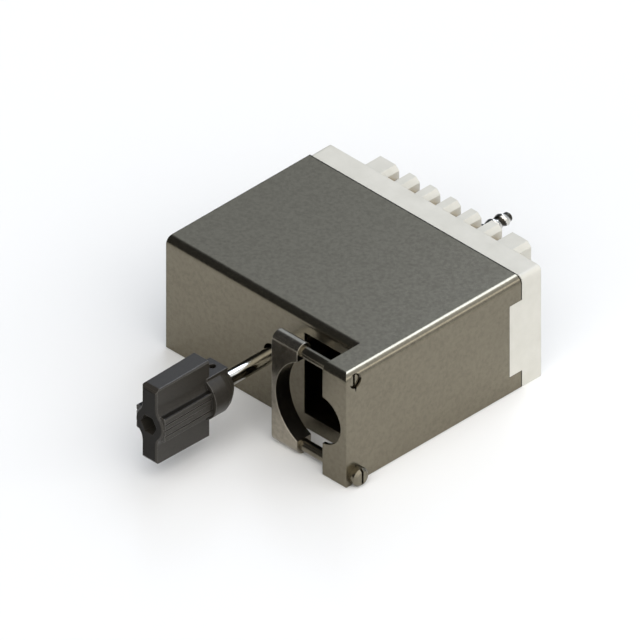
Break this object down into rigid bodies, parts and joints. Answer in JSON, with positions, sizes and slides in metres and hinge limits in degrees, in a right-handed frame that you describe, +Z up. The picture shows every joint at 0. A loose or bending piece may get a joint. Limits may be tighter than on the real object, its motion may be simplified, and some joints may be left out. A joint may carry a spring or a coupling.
{
  "type": "rack and panel connector",
  "caption": "Rack and panel plug with a folded metal hood, side cable outlet with clamp, moulded contact block and a jackscrew turned by a wing knob.",
  "frame": {"origin": "centre of the hood's flat underside, under the jackscrew's axis", "axes": "+X along the connector's length towards the cable outlet, +Y towards the mating side, +Z up"},
  "size_m": [0.0678, 0.1112, 0.0294],
  "materials": {
    "plated_sheet": "nickel plated sheet, satin",
    "moulded_insulator": "moulded thermoset, off-white, fine matt",
    "gold_contact": "gold flashed copper alloy, bright",
    "pin_steel": "turned and plated, satin",
    "sleeve_brass": "turned brass, nickel plated",
    "screw_steel": "turned stainless steel, bright",
    "knob_nylon": "moulded glass-filled nylon, black, fine matt",
    "spring_steel": "stamped spring steel, oiled",
    "saddle_zinc": "die cast and plated, satin"
  },
  "bodies": {
    "plug_body": {"hood_shell": "plated_sheet", "insulator": "moulded_insulator", "contact_row_1": "gold_contact", "contact_row_2": "gold_contact", "contact_row_3": "gold_contact", "contact_row_4": "gold_contact", "contact_row_5": "gold_contact", "contact_row_6": "gold_contact", "contact_row_7": "gold_contact", "polarizing_bush_left": "pin_steel", "polarizing_bush_right": "pin_steel", "polarizing_nuts": "pin_steel", "jackscrew_sleeve": "sleeve_brass", "upper_clamp_stud": "screw_steel"},
    "jackscrew": {"jackscrew_shaft": "screw_steel", "jackscrew_knob": "knob_nylon", "knob_pin": "screw_steel", "retaining_rings": "spring_steel", "thrust_washer": "screw_steel"},
    "clamp_jaw": {"clamp_saddle": "saddle_zinc"},
    "clamp_screw": {"lower_clamp_screw": "screw_steel"}
  },
  "joints": [
    {"name": "jackscrew_turn", "type": "hinge", "parent": "plug_body", "child": "jackscrew", "pos_m": [0, 0, 0.0147], "axis": [0, 1, 0], "continuous": true},
    {"name": "clamp_slide", "type": "slide", "parent": "plug_body", "child": "clamp_jaw", "axis": [1, 0, 0], "range_m": [0, 0.008]},
    {"name": "clamp_screw_turn", "type": "hinge", "parent": "plug_body", "child": "clamp_screw", "pos_m": [0, -0.0291, 0.0023], "axis": [-1, 0, 0], "range_deg": [0, 4540]}
  ],
  "couplings": [
    {"joint": "clamp_screw_turn", "follows": "clamp_slide", "rad_per_m": 9894.8}
  ]
}
